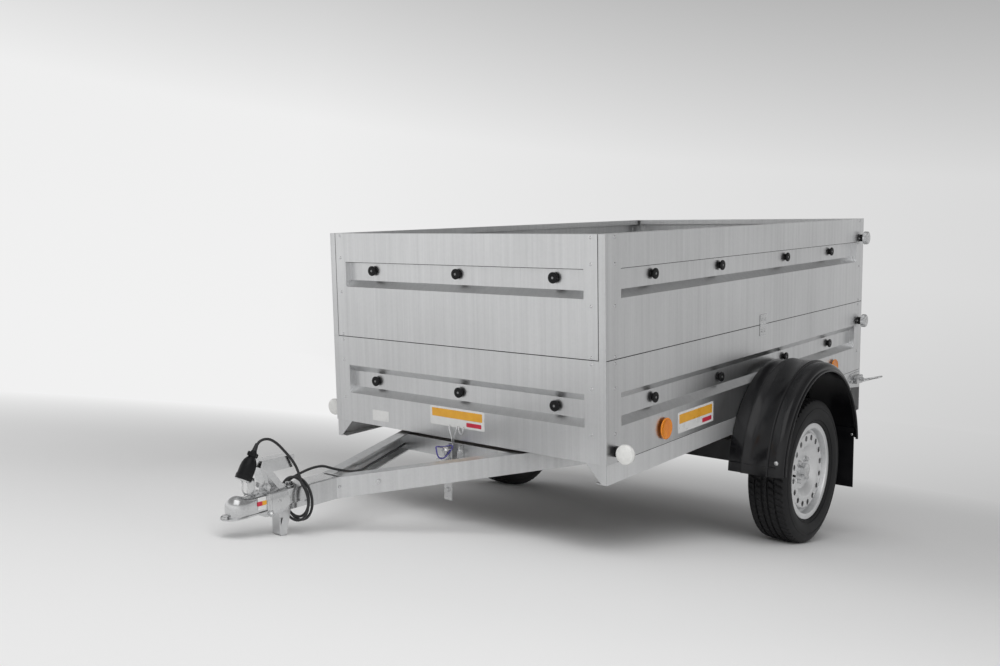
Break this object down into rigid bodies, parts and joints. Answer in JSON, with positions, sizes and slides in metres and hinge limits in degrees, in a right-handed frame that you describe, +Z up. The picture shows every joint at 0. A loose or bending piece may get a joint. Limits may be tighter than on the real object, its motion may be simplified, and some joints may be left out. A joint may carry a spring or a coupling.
{
  "type": "utility trailer",
  "caption": "Tilting single-axle utility trailer with a galvanised two-tier sheet steel box, V drawbar, ball coupling, mudguards and a drop-down tailgate on each tier",
  "frame": {"origin": "on the ground, under the middle of the bounding box of the parked trailer", "axes": "X forward to the coupling, Y left, Z up; the trailer is stored parked, nose down on the foot under its coupling"},
  "size_m": [3.0394, 1.6, 1.3819],
  "materials": {
    "amber_lens": "glossy",
    "black_metal": "satin black",
    "black_plastic": "matte moulded",
    "bright_zinc": "bright zinc plated",
    "cable": "semi-matte",
    "plywood": "film-faced plywood",
    "red_lens": "glossy",
    "tyre": "matte",
    "wheel_silver": "satin silver",
    "white_lens": "glossy",
    "zinc_frame": "dull galvanised",
    "zinc_sheet": "satin galvanised"
  },
  "bodies": {
    "drawbar": {"coupling_handle": "bright_zinc", "coupling_head": "bright_zinc", "coupling_stand": "zinc_frame", "coupling_tube": "bright_zinc", "drawbar_beam_left": "zinc_frame", "drawbar_beam_right": "zinc_frame", "drawbar_cross_member": "zinc_frame", "lead_coil": "cable", "light_lead": "cable", "light_lead_rear": "cable", "light_plug": "black_plastic", "plug_holder": "bright_zinc", "tilt_lock": "bright_zinc"},
    "bed": {"axle_arm_left": "black_metal", "axle_arm_right": "black_metal", "axle_tube": "black_metal", "cover_knobs": "black_plastic", "cross_members": "zinc_frame", "floor_board": "plywood", "front_post_lower_left": "zinc_frame", "front_post_lower_right": "zinc_frame", "front_post_upper_left": "zinc_frame", "front_post_upper_right": "zinc_frame", "front_wall_lower": "zinc_sheet", "front_wall_upper": "zinc_sheet", "lamp_bar": "zinc_frame", "latch_blocks": "black_plastic", "latch_knobs": "bright_zinc", "left_wall_lower": "zinc_sheet", "left_wall_upper": "zinc_sheet", "marker_brackets": "black_plastic", "marker_lamps": "white_lens", "mud_flaps": "black_plastic", "mudguard_left": "black_plastic", "mudguard_right": "black_plastic", "rear_lamps": "red_lens", "rear_post_lower_left": "zinc_frame", "rear_post_lower_right": "zinc_frame", "rear_post_upper_left": "zinc_frame", "rear_post_upper_right": "zinc_frame", "rear_sill": "zinc_frame", "right_wall_lower": "zinc_sheet", "right_wall_upper": "zinc_sheet", "side_reflectors": "amber_lens", "sill_left": "zinc_frame", "sill_right": "zinc_frame", "tailgate_pins": "zinc_frame", "tier_joiners": "bright_zinc", "tilt_hinges": "zinc_frame"},
    "wheel_left": {"tyre_left": "tyre", "rim_left": "wheel_silver", "hub_left": "bright_zinc"},
    "wheel_right": {"tyre_right": "tyre", "rim_right": "wheel_silver", "hub_right": "bright_zinc"},
    "tailgate_lower": {"tailgate_lower": "zinc_sheet", "tailgate_lower_knobs": "black_plastic"},
    "tailgate_upper": {"tailgate_upper": "zinc_sheet", "tailgate_upper_knobs": "black_plastic"}
  },
  "joints": [
    {"name": "bed_tilt", "type": "hinge", "parent": "drawbar", "child": "bed", "pos_m": [0.02219, 0, 0.34889], "axis": [0, -1, 0], "range_deg": [0, 25]},
    {"name": "tailgate_lower_hinge", "type": "hinge", "parent": "bed", "child": "tailgate_lower", "pos_m": [-1.42411, 0, 0.73025], "axis": [0, -1, 0], "range_deg": [0, 110]},
    {"name": "tailgate_upper_hinge", "type": "hinge", "parent": "bed", "child": "tailgate_upper", "pos_m": [-1.35896, 0, 1.0364], "axis": [0, -1, 0], "range_deg": [0, 110]},
    {"name": "wheel_left_spin", "type": "hinge", "parent": "bed", "child": "wheel_left", "pos_m": [-0.57242, 0.684, 0.274], "axis": [0, 1, 0], "continuous": true},
    {"name": "wheel_right_spin", "type": "hinge", "parent": "bed", "child": "wheel_right", "pos_m": [-0.57242, -0.684, 0.274], "axis": [0, 1, 0], "continuous": true}
  ]
}
